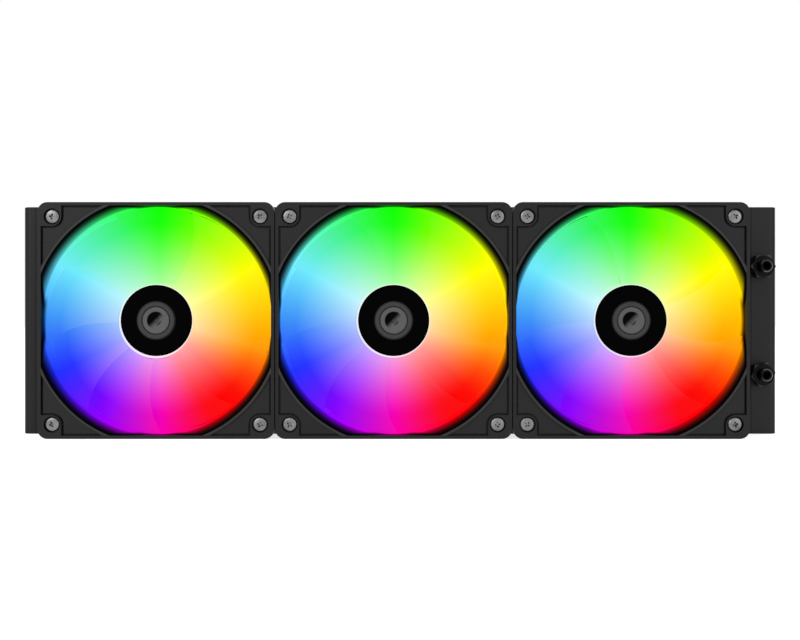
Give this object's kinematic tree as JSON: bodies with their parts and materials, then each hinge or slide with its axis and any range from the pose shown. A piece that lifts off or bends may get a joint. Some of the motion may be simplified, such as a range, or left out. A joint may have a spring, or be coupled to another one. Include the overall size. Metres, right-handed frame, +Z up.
{
  "type": "liquid cooler radiator with fans",
  "caption": "Long radiator for a liquid cooler with a row of lit axial fans screwed to its face and two bare hose fittings on one end tank.",
  "frame": {"origin": "middle of the bottom of the whole, standing on its long edge", "axes": "+X along the radiator towards the hose fittings, +Z up, the fans face -Y"},
  "size_m": [0.3994, 0.052, 0.12],
  "materials": {
    "black_paint": "satin black paint",
    "painted_core": "thin matte black paint",
    "core_aluminium": "bare brazed aluminium",
    "fitting_metal": "black plated, satin",
    "seal_rubber": "matte",
    "black_fan_plastic": "moulded, fine grain",
    "bronze": "oiled sintered bronze",
    "stack_steel": "laminated, edge lines",
    "copper_wire": "enamelled copper wire",
    "board": "circuit board",
    "lamps": "clear lens, lit",
    "screw_steel": "dark nickel plate",
    "lit_plastic": "frosted clear plastic lit in a ring of rainbow colours",
    "hub_plastic": "black, grey at the middle",
    "yoke_steel": "zinc plate",
    "magnet": "pressed ferrite",
    "shaft_steel": "ground",
    "clip_plastic": "natural nylon"
  },
  "bodies": {
    "radiator_and_frames": {"left_end_tank": "black_paint", "right_end_tank": "black_paint", "left_header_plate": "core_aluminium", "right_header_plate": "core_aluminium", "top_side_rail": "black_paint", "bottom_side_rail": "black_paint", "flat_tubes": "painted_core", "fin_packs": "painted_core", "tank_divider": "core_aluminium", "upper_hose_fitting": "fitting_metal", "lower_hose_fitting": "fitting_metal", "upper_fitting_seal": "seal_rubber", "lower_fitting_seal": "seal_rubber", "left_fan_frame": "black_fan_plastic", "left_bearing_sleeve": "bronze", "left_stator_core": "stack_steel", "left_stator_windings": "copper_wire", "left_circuit_board": "board", "left_lamp_group": "lamps", "left_fan_screws": "screw_steel", "middle_fan_frame": "black_fan_plastic", "middle_bearing_sleeve": "bronze", "middle_stator_core": "stack_steel", "middle_stator_windings": "copper_wire", "middle_circuit_board": "board", "middle_lamp_group": "lamps", "middle_fan_screws": "screw_steel", "right_fan_frame": "black_fan_plastic", "right_bearing_sleeve": "bronze", "right_stator_core": "stack_steel", "right_stator_windings": "copper_wire", "right_circuit_board": "board", "right_lamp_group": "lamps", "right_fan_screws": "screw_steel"},
    "left_rotor": {"left_impeller": "lit_plastic", "left_hub_cap": "hub_plastic", "left_rotor_yoke": "yoke_steel", "left_magnet_ring": "magnet", "left_shaft": "shaft_steel", "left_retaining_clip": "clip_plastic"},
    "middle_rotor": {"middle_impeller": "lit_plastic", "middle_hub_cap": "hub_plastic", "middle_rotor_yoke": "yoke_steel", "middle_magnet_ring": "magnet", "middle_shaft": "shaft_steel", "middle_retaining_clip": "clip_plastic"},
    "right_rotor": {"right_impeller": "lit_plastic", "right_hub_cap": "hub_plastic", "right_rotor_yoke": "yoke_steel", "right_magnet_ring": "magnet", "right_shaft": "shaft_steel", "right_retaining_clip": "clip_plastic"}
  },
  "joints": [
    {"name": "left_rotor_spin", "type": "hinge", "parent": "radiator_and_frames", "child": "left_rotor", "pos_m": [-0.1232, 0, 0.06], "axis": [0, -1, 0], "continuous": true},
    {"name": "middle_rotor_spin", "type": "hinge", "parent": "radiator_and_frames", "child": "middle_rotor", "pos_m": [-0.0032, 0, 0.06], "axis": [0, -1, 0], "continuous": true},
    {"name": "right_rotor_spin", "type": "hinge", "parent": "radiator_and_frames", "child": "right_rotor", "pos_m": [0.1168, 0, 0.06], "axis": [0, -1, 0], "continuous": true}
  ]
}
